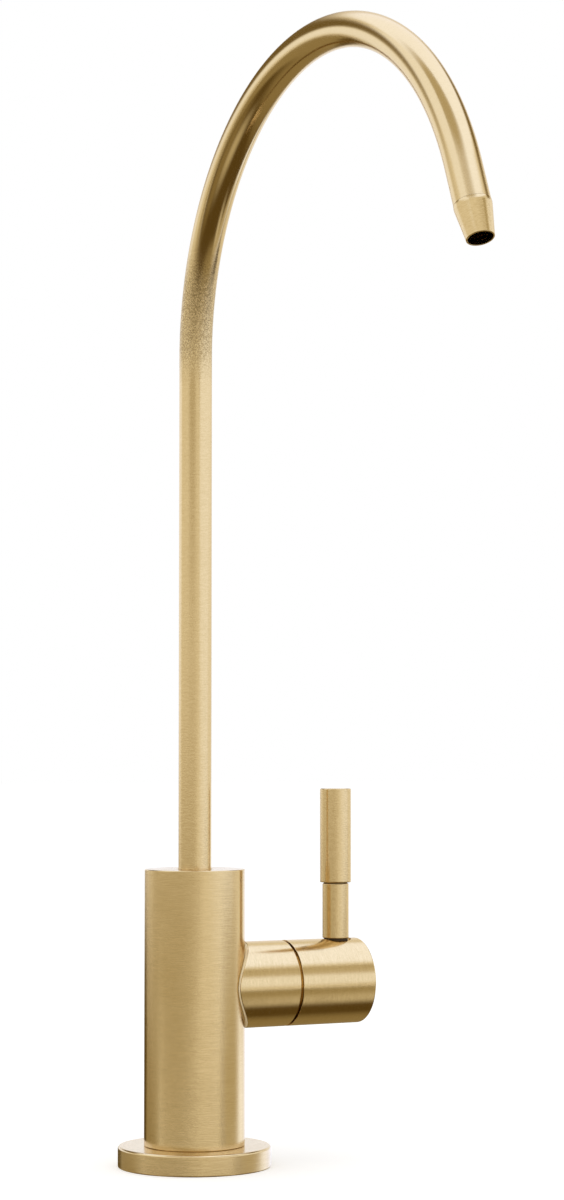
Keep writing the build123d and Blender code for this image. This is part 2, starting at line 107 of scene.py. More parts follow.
class Nodes:
    """Adds shader nodes to a tree and links them."""

    # A Mix node's first input and its result stand at other places for each kind of data
    mix_places = {"FLOAT": (2, 0), "RGBA": (6, 2)}

    def __init__(self, tree):
        self.tree = tree

    def add(self, kind, **settings):
        node = self.tree.nodes.new(kind)
        for name, value in settings.items():
            setattr(node, name, value)
        return node

    def put(self, socket, value):
        if isinstance(value, bpy.types.NodeSocket):
            self.tree.links.new(value, socket)
        else:
            socket.default_value = value

    def math(self, operation, *values):
        node = self.add("ShaderNodeMath", operation=operation)
        for socket, value in zip(node.inputs, values):
            self.put(socket, value)
        return node.outputs[0]

    def plus(self, first, second):
        return self.math("ADD", first, second)

    def minus(self, first, second):
        return self.math("SUBTRACT", first, second)

    def times(self, first, second):
        return self.math("MULTIPLY", first, second)

    def vector(self, operation, *values):
        node = self.add("ShaderNodeVectorMath", operation=operation)
        for socket, value in zip(node.inputs, values):
            self.put(socket, value)
        return node.outputs["Value" if operation in ("LENGTH", "DOT_PRODUCT") else "Vector"]

    def height(self, place):
        return self.vector("DOT_PRODUCT", place, (0, 0, 1))

    def scaled(self, vector, scale):
        node = self.add("ShaderNodeVectorMath", operation="SCALE")
        self.put(node.inputs["Vector"], vector)
        self.put(node.inputs["Scale"], scale)
        return node.outputs["Vector"]

    def noise(self, vector, scale, detail=2.0, roughness=0.5):
        node = self.add("ShaderNodeTexNoise")
        self.put(node.inputs["Vector"], vector)
        self.put(node.inputs["Scale"], scale)
        self.put(node.inputs["Detail"], detail)
        self.put(node.inputs["Roughness"], roughness)
        return node.outputs["Fac"]

    def spread(self, value, low, high, to_low=0.0, to_high=1.0, curve="LINEAR"):
        """Carries a value from one range to another."""
        node = self.add("ShaderNodeMapRange", interpolation_type=curve)
        for name, number in (("From Min", low), ("From Max", high), ("To Min", to_low), ("To Max", to_high)):
            self.put(node.inputs[name], number)
        self.put(node.inputs["Value"], value)
        return node.outputs["Result"]

    def mixed(self, kind, share, first, second):
        """Something between two numbers (FLOAT) or two colours (RGBA)."""
        first_input, result = self.mix_places[kind]
        node = self.add("ShaderNodeMix", data_type=kind)
        self.put(node.inputs[0], share)
        self.put(node.inputs[first_input], first)
        self.put(node.inputs[first_input + 1], second)
        return node.outputs[result]

    def either(self, share, first, second):
        """A surface between two surfaces."""
        node = self.add("ShaderNodeMixShader")
        for socket, value in zip(node.inputs, (share, first, second)):
            self.put(socket, value)
        return node.outputs[0]

    def place(self, placement):
        """A point's own upright place on a piece, in millimetres."""
        own = placement.inverted()
        node = self.add("ShaderNodeMapping", vector_type="POINT")
        node.inputs["Location"].default_value = own.translation
        node.inputs["Rotation"].default_value = own.to_euler()
        node.inputs["Scale"].default_value = (1 / mm, 1 / mm, 1 / mm)
        self.put(node.inputs["Vector"], self.add("ShaderNodeTexCoord").outputs["Object"])
        return node.outputs["Vector"]

    def group(self, tree, **values):
        node = self.add("ShaderNodeGroup", node_tree=tree)
        for name, value in values.items():
            self.put(node.inputs[name], value)
        return node.outputs

    def bump(self, height, depth):
        """A normal from a height of 0 to 1 over a depth in millimetres."""
        node = self.add("ShaderNodeBump")
        node.inputs["Strength"].default_value = 1
        node.inputs["Distance"].default_value = depth * mm
        self.put(node.inputs["Height"], height)
        return node.outputs["Normal"]


def new_group(name, inputs, outputs):
    """A node group with float sockets, and vector ones where the default is a triple."""
    tree = bpy.data.node_groups.new(name, "ShaderNodeTree")
    for socket, default in inputs.items():
        kind = "NodeSocketVector" if isinstance(default, tuple) else "NodeSocketFloat"
        tree.interface.new_socket(socket, in_out="INPUT", socket_type=kind).default_value = default
    for socket in outputs:
        tree.interface.new_socket(socket, in_out="OUTPUT", socket_type="NodeSocketFloat")
    nodes = Nodes(tree)
    return tree, nodes, nodes.add("NodeGroupInput").outputs, nodes.add("NodeGroupOutput").inputs


def make_lathe_lines():
    """Fine lines round a piece's own +Z, and rings on its end faces.

    Fine is how close the lines lie, and Streaks is how often each one breaks off on its way round.
    """
    defaults = {"Place": (0, 0, 0), "Fine": 3.0, "Streaks": 4.0}
    tree, nodes, given, made = new_group("lathe_lines", defaults, ["Lines"])
    flat = nodes.vector("MULTIPLY", given["Place"], (1, 1, 0))
    radius = nodes.math("MAXIMUM", nodes.vector("LENGTH", flat), 0.01)
    around = nodes.scaled(flat, nodes.math("DIVIDE", given["Streaks"], radius))
    rise = nodes.times(nodes.plus(nodes.height(given["Place"]), radius), given["Fine"])
    upward = nodes.add("ShaderNodeCombineXYZ")
    nodes.put(upward.inputs["Z"], rise)
    spot = nodes.vector("ADD", around, upward.outputs[0])
    nodes.put(made["Lines"], nodes.noise(spot, scale=1.0, detail=3.0, roughness=0.65))
    return tree


def make_satin_speckle():
    """The fine tooth of a blasted and lacquered surface, and slow cloudy changes over it."""
    defaults = {"Place": (0, 0, 0), "Fine": 2.2}
    tree, nodes, given, made = new_group("satin_speckle", defaults, ["Speckle", "Cloud"])
    nodes.put(made["Speckle"], nodes.noise(given["Place"], given["Fine"], detail=3.0, roughness=0.7))
    nodes.put(made["Cloud"], nodes.noise(given["Place"], scale=0.09))
    return tree


lathe_lines = make_lathe_lines()
satin_speckle = make_satin_speckle()


def new_material(name, metallic, roughness):
    material = bpy.data.materials.new(name)
    material.use_nodes = True
    shader = material.node_tree.nodes["Principled BSDF"]
    shader.inputs["Metallic"].default_value = metallic
    shader.inputs["Roughness"].default_value = roughness
    return material, Nodes(material.node_tree), shader.inputs


# Gold of the pieces that show

# Painted reflection: a darker gold for the spout's speckled zone, standing for the dark band mirrored there
gold_painted_reflection_dark = (0.42, 0.3, 0.135, 1)
gold_deep = (0.615, 0.45, 0.211, 1)
gold_pale = (0.705, 0.53, 0.269, 1)
gold_rim = (0.92, 0.86, 0.76, 1)
white_rim = (1, 1, 1, 1)
# Painted highlight: pale matte tones for the collar's lip, so that it reads bright whatever light falls on
# it
lip_highlight_deep = (0.93, 0.76, 0.45, 1)
lip_highlight_pale = (1.0, 0.85, 0.56, 1)
# Painted shade: dark tones for the narrow neck between stem and grip, standing for the shade in that groove
neck_shade_deep = (0.12, 0.08, 0.035, 1)
neck_shade_pale = (0.2, 0.14, 0.06, 1)


def satin_gold(name, placement, roughness, metallic=1.0, lines=0.6, fine=4.0, streaks=4.0, depth=0.02,
               deep=gold_deep, pale=gold_pale, rim=gold_rim):
    """Satin gold plating over a turned piece.

    Lines is the share of lathe lines in the grain, beside the speckle. Depth is the grain's in millimetres.
    Deep and pale are the tones of its low and high places, and rim is the tint at a grazing angle.
    """
    material, nodes, shader = new_material(name, metallic, roughness)
    shader["Specular Tint"].default_value = rim
    own = nodes.place(placement)
    turned_lines = nodes.group(lathe_lines, Place=own, Fine=fine, Streaks=streaks)["Lines"]
    satin = nodes.group(satin_speckle, Place=own)
    grain = nodes.mixed("FLOAT", lines, satin["Speckle"], turned_lines)
    nodes.put(shader["Base Color"], nodes.mixed("RGBA", nodes.spread(grain, 0.36, 0.64), deep, pale))
    cloudy = nodes.spread(satin["Cloud"], 0.3, 0.7, roughness - 0.02, roughness + 0.03)
    grainy = nodes.spread(grain, 0.3, 0.7, 0.025, -0.025)
    nodes.put(shader["Roughness"], nodes.plus(cloudy, grainy))
    nodes.put(shader["Normal"], nodes.bump(grain, depth))
    return material


column_gold = satin_gold("satin_gold_column", on_column, 0.14, lines=0.65, fine=6.0, streaks=3.5,
                         depth=0.018)
flange_gold = satin_gold("satin_gold_flange", on_column, 0.19, lines=0.7, fine=5.0, rim=white_rim)
valve_gold = satin_gold("satin_gold_valve", on_valve, 0.16)
lever_gold = satin_gold("satin_gold_lever", on_lever, 0.17, lines=0.8)
outlet_gold = satin_gold("satin_gold_outlet", on_outlet, 0.12, lines=0.85)
lip_painted_highlight_gold = satin_gold("satin_gold_lip_painted_highlight", on_valve, 0.5, metallic=0.1, deep=lip_highlight_deep, pale=lip_highlight_pale)
neck_painted_shade_gold = satin_gold("satin_gold_neck_painted_shade", on_lever, 0.3, deep=neck_shade_deep, pale=neck_shade_pale)


def make_spout_gold():
    """The riser is brushed across, the bend is polished finer, and a speckled zone lies between them."""
    material, nodes, shader = new_material("satin_gold_spout", metallic=1.0, roughness=0.16)
    shader["Specular Tint"].default_value = gold_rim
    straight = nodes.add("ShaderNodeAttribute", attribute_name="straightened").outputs["Vector"]

    # How far a point is past the riser and on the bend, and how much of the speckled zone it has
    height = nodes.height(straight)
    on_bend = nodes.spread(height, bend_start + 18, bend_start + 38, curve="SMOOTHSTEP")
    leaving_riser = nodes.spread(height, bend_start - 10, bend_start + 4, curve="SMOOTHSTEP")
    meeting = nodes.times(leaving_riser, nodes.minus(1.0, on_bend))

    # Grain: lathe lines and speckle in equal parts, and a coarse noise in the speckled zone
    brushed = nodes.group(lathe_lines, Place=straight, Fine=2.6, Streaks=2.5)["Lines"]
    satin = nodes.group(satin_speckle, Place=straight)
    coarse = nodes.noise(straight, scale=2.2, detail=4.0, roughness=0.75)
    even = nodes.plus(nodes.times(brushed, 0.5), nodes.times(satin["Speckle"], 0.5))
    grain = nodes.plus(even, nodes.times(nodes.minus(coarse, even), meeting))
    contrast = nodes.spread(on_bend, 0.0, 1.0, 1.0, 0.4)

    # Colour
    strength = nodes.plus(nodes.times(contrast, 3.5), nodes.times(meeting, 4.0))
    pale_share = nodes.plus(0.5, nodes.times(nodes.minus(grain, 0.5), strength))
    # In the speckled zone the deep tone darkens as a painted dark reflection; the speckle itself is grain
    deep = nodes.mixed("RGBA", meeting, gold_deep, gold_painted_reflection_dark)
    nodes.put(shader["Base Color"], nodes.mixed("RGBA", pale_share, deep, gold_pale))

    # Roughness, where the speckled zone is duller
    finish = nodes.plus(nodes.spread(on_bend, 0.0, 1.0, 0.17, 0.16), nodes.times(meeting, 0.07))
    cloudy = nodes.spread(satin["Cloud"], 0.3, 0.7, -0.015, 0.02)
    nodes.put(shader["Roughness"], nodes.plus(finish, cloudy))

    # Relief, deepest in the speckled zone
    relief = nodes.times(grain, nodes.plus(contrast, nodes.times(meeting, 2.5)))
    nodes.put(shader["Normal"], nodes.bump(relief, depth=0.03))
    return material


spout_gold = make_spout_gold()


# Finishes below the deck and inside

def bare_metal(name, placement, roughness, dull, clean, fine=5.0, depth=0.012):
    """Turned metal without plating, or with a thin dull one, its tone drifting in clouds."""
    material, nodes, shader = new_material(name, 1.0, roughness)
    own = nodes.place(placement)
    lines = nodes.group(lathe_lines, Place=own, Fine=fine, Streaks=1.5)["Lines"]
    satin = nodes.group(satin_speckle, Place=own)
    grain = nodes.plus(nodes.times(lines, 0.6), nodes.times(satin["Speckle"], 0.4))
    worn = nodes.plus(nodes.times(satin["Cloud"], 0.7), nodes.times(grain, 0.3))
    nodes.put(shader["Base Color"], nodes.mixed("RGBA", nodes.spread(worn, 0.35, 0.65), dull, clean))
    nodes.put(shader["Roughness"], nodes.spread(worn, 0.35, 0.65, roughness + 0.06, roughness - 0.05))
    nodes.put(shader["Normal"], nodes.bump(grain, depth))
    return material


def moulded(name, roughness, dark, light, fine=2.5, depth=0.01, shine=0.5):
    """A moulded skin with a fine even tooth and a slight cloudiness."""
    material, nodes, shader = new_material(name, 0.0, roughness)
    shader["Specular IOR Level"].default_value = shine
    skin = nodes.group(satin_speckle, Place=nodes.place(on_column), Fine=fine)
    tooth = nodes.spread(skin["Speckle"], 0.3, 0.7, roughness - 0.05, roughness + 0.05)
    nodes.put(shader["Base Color"], nodes.mixed("RGBA", nodes.spread(skin["Cloud"], 0.3, 0.7), dark, light))
    nodes.put(shader["Roughness"], tooth)
    nodes.put(shader["Normal"], nodes.bump(skin["Speckle"], depth))
    return material


brass_dull = (0.45, 0.31, 0.13, 1)
brass_clean = (0.62, 0.46, 0.2, 1)
zinc_dull = (0.4, 0.4, 0.39, 1)
zinc_clean = (0.57, 0.57, 0.55, 1)
# Painted shade: the dark brown of the stem's washer stands for the shade in the recess under the stem
shade_brown_dark = (0.045, 0.026, 0.01, 1)
shade_brown_light = (0.065, 0.04, 0.018, 1)
black_dark = (0.022, 0.015, 0.01, 1)
black_light = (0.034, 0.026, 0.019, 1)
ceramic_dark = (0.78, 0.75, 0.68, 1)
ceramic_light = (0.84, 0.81, 0.74, 1)
white_dark = (0.76, 0.76, 0.73, 1)
white_light = (0.82, 0.82, 0.8, 1)
grey_dark = (0.13, 0.14, 0.15, 1)
grey_light = (0.17, 0.18, 0.19, 1)

shank_brass = bare_metal("brass_shank", on_column, 0.27, brass_dull, brass_clean)
cartridge_brass = bare_metal("brass_cartridge", on_valve, 0.25, brass_dull, brass_clean)
zinc_steel = bare_metal("zinc_steel", on_column, 0.36, zinc_dull, zinc_clean, fine=2.0)
shade_brown_rubber = moulded("shade_brown_rubber", 0.7, shade_brown_dark, shade_brown_light, depth=0.03, shine=0.2)
black_rubber = moulded("black_rubber", 0.62, black_dark, black_light, fine=1.6, depth=0.03, shine=0.2)
lapped_ceramic = moulded("lapped_ceramic", 0.2, ceramic_dark, ceramic_light, fine=6.0, depth=0.002)
white_plastic = moulded("white_plastic", 0.42, white_dark, white_light)
grey_plastic = moulded("grey_plastic", 0.4, grey_dark, grey_light)


# Meshes

touching = 1e-4          # points nearer than this are one
edge_segments = 4        # of a rounded corner
crease = radians(35)     # sharper edges are shaded sharp

# Steps round a turned piece
fine_steps = 128
usual_steps = 96
small_steps = 64
hole_steps = 48
hidden_steps = 32


def verts_of(parts):
    """The points among a mesh's parts."""
    return [part for part in parts if isinstance(part, bmesh.types.BMVert)]


def edges_of(parts):
    """The edges among a mesh's parts."""
    return [part for part in parts if isinstance(part, bmesh.types.BMEdge)]


def all_of(bm):
    return bm.verts[:] + bm.edges[:] + bm.faces[:]


def whole_turn(steps, rise=0.0):
    """What a spin right round +Z is given. The rise is that of one step."""
    return {"cent": (0, 0, 0), "axis": (0, 0, 1), "dvec": (0, 0, rise), "angle": tau, "steps": steps}


def rounded(bm, corner, radius):
    rounding = {"offset": radius, "segments": edge_segments, "profile": 0.5}
    bmesh.ops.bevel(bm, geom=[corner], affect="VERTICES", material=-1, **rounding)


def turned(outline, steps=usual_steps):
    """Turns half an outline about +Z.

    Its points are (radius, height), with a third number, the rounding, where the corner is rounded.
    """
    bm = bmesh.new()
    corners = [bm.verts.new((point[0], 0, point[1])) for point in outline]
    bm.faces.new(corners)
    for corner, point in zip(corners, outline):
        if len(point) > 2:
            rounded(bm, corner, point[2])
    bmesh.ops.delete(bm, geom=bm.faces[:], context="FACES_ONLY")
    on_axis = [edge for edge in bm.edges if all(vert.co.x < touching for vert in edge.verts)]
    bmesh.ops.delete(bm, geom=on_axis, context="EDGES")
    bmesh.ops.spin(bm, geom=bm.verts[:] + bm.edges[:], use_merge=True, **whole_turn(steps))
    bmesh.ops.remove_doubles(bm, verts=bm.verts[:], dist=touching)
    bmesh.ops.recalc_face_normals(bm, faces=bm.faces[:])
    return bm


def carved(bm, cutters):
    """Takes closed meshes out of one. The cutters are used up."""
    objects = []
    for part in [bm, *cutters]:
        mesh = bpy.data.meshes.new("carving")
        part.to_mesh(mesh)
        part.free()
        objects.append(bpy.data.objects.new("carving", mesh))
        bpy.context.scene.collection.objects.link(objects[-1])
    for cutter in objects[1:]:
        boolean = objects[0].modifiers.new("carve", "BOOLEAN")
        boolean.operation = "DIFFERENCE"
        boolean.solver = "EXACT"
        boolean.object = cutter
    evaluated = objects[0].evaluated_get(bpy.context.evaluated_depsgraph_get())
    result = bmesh.new()
    result.from_mesh(evaluated.to_mesh())
    evaluated.to_mesh_clear()
    for part in objects:
        mesh = part.data
        bpy.data.objects.remove(part)
        bpy.data.meshes.remove(mesh)
    return result


def rod(radius, low, high, place=on_column, steps=small_steps):
    """A round bar along +Z between two heights, for carving."""
    bm = turned([(0, low), (radius, low), (radius, high), (0, high)], steps)
    bmesh.ops.transform(bm, matrix=place, verts=bm.verts)
    return bm


def slot_cutter(width, reach, low, high, turn=0.0):
    """A block from the axis outwards towards +Y, turned about +Z, for carving."""
    bm = bmesh.new()
    bmesh.ops.create_cube(bm, size=1)
    bmesh.ops.scale(bm, vec=(width, reach, high - low), verts=bm.verts)
    bmesh.ops.translate(bm, vec=(0, reach / 2, (low + high) / 2), verts=bm.verts)
    bmesh.ops.rotate(bm, cent=(0, 0, 0), matrix=Matrix.Rotation(turn, 3, "Z"), verts=bm.verts)
    return bm


def finish_piece(bm, name, material, body, node, placement=on_column):
    """Puts a mesh in its place on the faucet as a finished piece that stands for a node of the frame."""
    bmesh.ops.transform(bm, matrix=Matrix.Diagonal((mm, mm, mm, 1)) @ placement, verts=bm.verts)
    mesh = bpy.data.meshes.new(name)
    bm.to_mesh(mesh)
    bm.free()
    mesh.materials.append(material)
    mesh.shade_smooth()
    mesh.set_sharp_from_angle(angle=crease)
    piece = bpy.data.objects.new(name, mesh)
    bpy.context.scene.collection.objects.link(piece)
    weighted = piece.modifiers.new("even_shading", "WEIGHTED_NORMAL")
    weighted.keep_sharp = True
    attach(piece, body)
    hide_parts(node)
    return piece


def second_finish(piece, material, chosen):
    """Gives some faces of a piece another material. Chosen says yes or no for each face in turn."""
    piece.data.materials.append(material)
    for polygon, is_chosen in zip(piece.data.polygons, chosen):
        polygon.material_index = int(is_chosen)


# Pieces above the deck

def make_flange():
    """A flat disc with a groove for its gasket in the underside."""
    foot, top, rim = flange_low.z, flange_high.z, flange_high.x
    groove_top, groove_rim = gasket_high.z, gasket_high.x
    groove_bore = groove_rim - gasket_groove
    bm = turned([
        (screw_bore, foot),
        (groove_bore, foot, 0.15),
        (groove_bore, groove_top),
        (groove_rim, groove_top),
        (groove_rim, foot, 0.15),
        (rim, foot, 0.35),
        (rim, top, 0.7),
        (screw_bore, top),
    ], fine_steps)
    finish_piece(bm, "deck_flange", flange_gold, "faucet_body", "base_flange")


def make_body():
    """The column, bored for shank, spout and cartridge, with its water ways."""
    foot, top, rim = body_low.z, body_high.z, body_radius
    socket_top = shank_high.z + 1
    seal_section = 1.8
    seal_rim = 12
    seal_bore = seal_rim - seal_section
    seal_roof = foot + seal_section
    mouth = tube_radius + 0.45
    mouth_floor = top - 2
    spout_bore = tube_radius + gap
    spout_floor = 61
    body = turned([
        (0, socket_top),
        (screw_bore, socket_top),
        (screw_bore, foot, 0.3),
        (seal_bore, foot),
        (seal_bore, seal_roof),
        (seal_rim, seal_roof),
        (seal_rim, foot),
        (rim, foot, 0.25),
        (rim, top, 0.3),
        (mouth, top, 0.15),
        (mouth, mouth_floor),
        (spout_bore, mouth_floor, 0.2),
        (spout_bore, spout_floor),
        (0, spout_floor),
    ])

    # The side bore runs along the valve: the cartridge's bore, then the wider pocket for the collar's foot
    seat_floor = -1.5
    cartridge_bore = 8.2
    pocket_radius = 10.6
    pocket_floor = 9.494
    outside = rim + 1
    side_bore = turned([
        (0, seat_floor),
        (cartridge_bore, seat_floor),
        (cartridge_bore, pocket_floor),
        (pocket_radius, pocket_floor),
        (pocket_radius, outside),
        (0, outside),
    ], small_steps)
    bmesh.ops.transform(side_bore, matrix=on_valve, verts=side_bore.verts)

    # Water comes up beside the middle, crosses to the seat, and goes on from the discs up to the spout
    inlet_place = -5.2
    outlet_place = 2.6125
    inlet_axis = Matrix.Translation((inlet_place, 0, 0))
    outlet_axis = Matrix.Translation((outlet_place, 0, 0))
    crossing = rod(2.9, inlet_place, 0, on_valve, hidden_steps)
    inlet_way = rod(2.2, socket_top - 0.5, valve_height, inlet_axis, hidden_steps)
    outlet_way = rod(1.8, valve_height, spout_floor + 0.5, outlet_axis, hidden_steps)
    body = carved(body, [side_bore, crossing, inlet_way, outlet_way])
    finish_piece(body, "upright_body", column_gold, "faucet_body", "valve_body")


def straighten(point):
    """Where a point of the spout would be if its tube were straight."""
    if point.y > -bend_radius and point.z < bend_start + 0.01:
        return point.copy()
    arm = point - bend_middle
    angle = atan2(arm.z, arm.y)
    if 0 <= angle < bend_angle:
        return Vector((point.x, hypot(arm.y, arm.z) - bend_radius, bend_start + bend_radius * angle))
    outward = Vector((0, cos(bend_angle), sin(bend_angle)))
    along = (point - bend_finish).dot(spout_heading)
    return Vector((point.x, arm.dot(outward) - bend_radius, bend_start + bend_radius * bend_angle + along))


def make_spout():
    """The gooseneck: a ring of points raised up the riser, swung round the bend and led on to the tip."""
    bm = bmesh.new()
    foot = Matrix.Translation((0, 0, tube_low.z))
    bmesh.ops.create_circle(bm, segments=small_steps, radius=tube_radius, matrix=foot)
    riser = bmesh.ops.extrude_edge_only(bm, edges=bm.edges[:])["geom"]
    bmesh.ops.translate(bm, vec=(0, 0, bend_start - tube_low.z), verts=verts_of(riser))
    ring = verts_of(riser) + edges_of(riser)
    swing = {"cent": bend_middle, "axis": (1, 0, 0), "dvec": (0, 0, 0), "angle": bend_angle}
    bend = bmesh.ops.spin(bm, geom=ring, steps=usual_steps, **swing)
    tip = bmesh.ops.extrude_edge_only(bm, edges=edges_of(bend["geom_last"]))["geom"]
    bmesh.ops.translate(bm, vec=spout_heading * end_run, verts=verts_of(tip))
    bmesh.ops.remove_doubles(bm, verts=bm.verts[:], dist=touching)
    bmesh.ops.recalc_face_normals(bm, faces=bm.faces[:])
    bmesh.ops.solidify(bm, geom=bm.faces[:], thickness=tube_wall)
    straightened = [straighten(vert.co) for vert in bm.verts]
    piece = finish_piece(bm, "gooseneck", spout_gold, "spout", "spout_tube")
    attribute = piece.data.attributes.new("straightened", "FLOAT_VECTOR", "POINT")
    for item, place in zip(attribute.data, straightened):
        item.vector = place


def make_nozzle():
    """The tapered tip. Its spigot holds the flow straightener up in the tube, and 0 is the tube's end."""
    length = 9.8
    land = 1
    top_radius = 4.85
    tip_radius = 3.6
    spigot_end = -8.3
    spigot_radius = tube_radius - tube_wall - gap
    straightener_bore = 3.35
    ledge = -3.78
    ledge_bore = 3.05
    mouth_bore = 3.2
    bm = turned([
        (straightener_bore, spigot_end, 0.1),
        (spigot_radius, spigot_end, 0.2),
        (spigot_radius, 0),
        (top_radius, 0, 0.2),
        (top_radius, land, 0.3),
        (tip_radius, length, 0.15),
        (mouth_bore, length, 0.1),
        (mouth_bore, 0),
        (ledge_bore, -0.4),
        (ledge_bore, ledge),
        (straightener_bore, ledge),
    ], small_steps)
    finish_piece(bm, "outlet_tip", outlet_gold, "spout", "outlet_nozzle", on_outlet)


def make_collar():
    """A sleeve whose foot follows the round of the body.

    Its lip is a bevel coloured pale and matte as a painted highlight, parted off by a fine groove. The web
    inside is where the nut holds it.
    """
    end, rim = collar_high.x, valve_radius
    wall = 1.2
    bore = rim - wall
    lip_width = 0.8
    lip_depth = 0.35
    groove = 0.1
    web_bore = 6.5 + gap
    web_foot = 14.82
    web_top = web_foot + 2
    bm = turned([
        (bore, 0),
        (rim - lip_depth, 0, 0.05),
        (rim - 0.02, lip_width, 0.1),
        (rim - groove, lip_width + groove),
        (rim - groove, lip_width + 2 * groove),
        (rim, lip_width + 3 * groove, 0.05),
        (rim, end, 0.15),
        (bore, end, 0.1),
        (bore, web_top),
        (web_bore, web_top),
        (web_bore, web_foot),
        (bore, web_foot),
    ], fine_steps)
    on_lip = [max(vert.co.z for vert in face.verts) < lip_width + 0.01 for face in bm.faces]
    foot_zone = 2
    for vert in bm.verts:
        if vert.co.z < foot_zone:
            vert.co.z += sqrt((body_radius + gap) ** 2 - vert.co.y ** 2)
    piece = finish_piece(bm, "side_collar", valve_gold, "faucet_body", "valve_collar",
                         on_valve)
    # The lip's faces get the painted highlight
    second_finish(piece, lip_painted_highlight_gold, on_lip)


def make_hub():
    """The valve's turning end, past the seam groove, with a recess and a hole on top for the lever."""
    foot, end, rim = hub_low.x, hub_high.x, valve_radius
    seam = foot + 2.45
    skirt = 11
    end_wall = 3.3
    spindle_bore = 3.9 + gap
    hub = turned([
        (0, end - end_wall),
        (spindle_bore, end - end_wall),
        (spindle_bore, foot, 0.2),
        (skirt, foot, 0.2),
        (skirt, seam),
        (rim, seam, 0.15),
        (rim, end, 0.4),
        (0, end),
    ], fine_steps)
    bmesh.ops.transform(hub, matrix=on_valve, verts=hub.verts)
    crest = valve_height + rim
    recess_radius = 4.5
    recess_depth = 0.8
    stud_hole = rod(stud_bore, valve_height, crest + 1, on_lever, hole_steps)
    recess = rod(recess_radius, crest - recess_depth, crest + 1, on_lever)
    hub = carved(hub, [recess, stud_hole])
    finish_piece(hub, "lever_hub", valve_gold, "lever", "handle_hub")


def make_lever():
    """The thin stem, its dark washer in the hub's recess, and the thicker grip on the stem's pin. The
    washer's dark brown is painted shade for the gap under the stem.
    """
    foot, pin_top = stem_low.z, stem_high.z
    neck_height = 0.35
    shoulder = grip_low.z - neck_height
    pin_foot = grip_low.z - face_gap
    stem_radius = stem_high.x - lever_place
    neck_radius = 3.55
    pin_radius = 2.9
    stud_end = foot + 8 + gap
    stem = turned([
        (0, stud_end),
        (stud_bore, stud_end),
        (stud_bore, foot, 0.2),
        (stem_radius, foot, 0.25),
        (stem_radius, shoulder, 0.25),
        (neck_radius, shoulder),
        (neck_radius, pin_foot),
        (pin_radius, pin_foot),
        (pin_radius, pin_top, 0.2),
        (0, pin_top),
    ], small_steps)
    # The neck's faces get the painted shade that stands for the dark groove under the grip
    on_neck = [min(vert.co.z for vert in face.verts) > shoulder - 0.01 for face in stem.faces]
    piece = finish_piece(stem, "stem", lever_gold, "lever", "lever_stem", on_lever)
    second_finish(piece, neck_painted_shade_gold, on_neck)

    grip_radius = grip_high.x - lever_place
    grip_bore = pin_radius + gap
    grip = turned([
        (0, pin_top + gap),
        (grip_bore, pin_top + gap),
        (grip_bore, grip_low.z, 0.1),
        (grip_radius, grip_low.z, 0.3),
        (grip_radius, grip_high.z, 0.35),
        (0, grip_high.z),
    ], small_steps)
    finish_piece(grip, "grip", lever_gold, "lever", "lever_grip", on_lever)

    washer_radius = washer_high.x - lever_place
    # The washer is dark brown as painted shade in the recess under the stem
    washer = turned([
        (stud_bore, washer_low.z),
        (washer_radius, washer_low.z, 0.1),
        (washer_radius, washer_high.z, 0.1),
        (stud_bore, washer_high.z),
    ], small_steps)
    finish_piece(washer, "stem_shade_ring", shade_brown_rubber, "lever", "stem_washer", on_lever)


# Pieces below the deck

def flat_ring(low, high, bore, roundings):
    """A ring in its node's box. Its roundings go from the foot's bore by the rim to the top's bore."""
    corners = [(bore, low.z), (high.x, low.z), (high.x, high.z), (bore, high.z)]
    return turned([(*corner, rounding) for corner, rounding in zip(corners, roundings)])


def hexagon_rim(high, foot, top):
    """The outside of a hexagon's outline before its flats are cut, chamfered down to them at both ends."""
    half_flats = high.y
    proud = high.x + 0.4
    bevel = (proud - half_flats) / 2
    return [(half_flats, foot), (proud, foot + bevel), (proud, top - bevel), (half_flats, top)]


def six_flats(bm, half_flats):
    """Cuts a turned piece to a hexagon across its widest part, with corners towards +X and -X."""
    for number in range(6):
        turn = radians(30 + 60 * number)
        outward = Vector((cos(turn), sin(turn), 0))
        plane = {"plane_co": outward * half_flats, "plane_no": outward, "clear_outer": True}
        flat = bmesh.ops.bisect_plane(bm, geom=all_of(bm), dist=touching, **plane)
        bmesh.ops.holes_fill(bm, edges=edges_of(flat["geom_cut"]))
    bmesh.ops.recalc_face_normals(bm, faces=bm.faces[:])
    return bm


def make_gasket():
    bore = gasket_high.x - gasket_groove + 0.1
    bm = flat_ring(gasket_low, gasket_high, bore, (0.25, 0.25, 0.1, 0.1))
    finish_piece(bm, "foot_gasket", black_rubber, "faucet_body", "deck_gasket")


def screw_surface(foot, top, crest, depth, pitch):
    """An open thread that runs past both heights: one turn of it, doubled until it is long enough."""
    steps = 48
    flank = depth * tan(radians(30))
    land = pitch / 8
    root = crest - depth
    outline = [(root, 0), (crest, flank), (crest, flank + land), (root, 2 * flank + land), (root, pitch)]
    bm = bmesh.new()
    points = [bm.verts.new((radius, 0, foot - pitch + height)) for radius, height in outline]
    edges = [bm.edges.new(pair) for pair in zip(points, points[1:])]
    bmesh.ops.spin(bm, geom=points + edges, **whole_turn(steps, pitch / steps))
    turns = 1
    while turns * pitch < top - foot + 3 * pitch:
        more = bmesh.ops.duplicate(bm, geom=all_of(bm))["geom"]
        bmesh.ops.translate(bm, vec=(0, 0, turns * pitch), verts=verts_of(more))
        turns *= 2
    bmesh.ops.remove_doubles(bm, verts=bm.verts[:], dist=touching)
    return bm


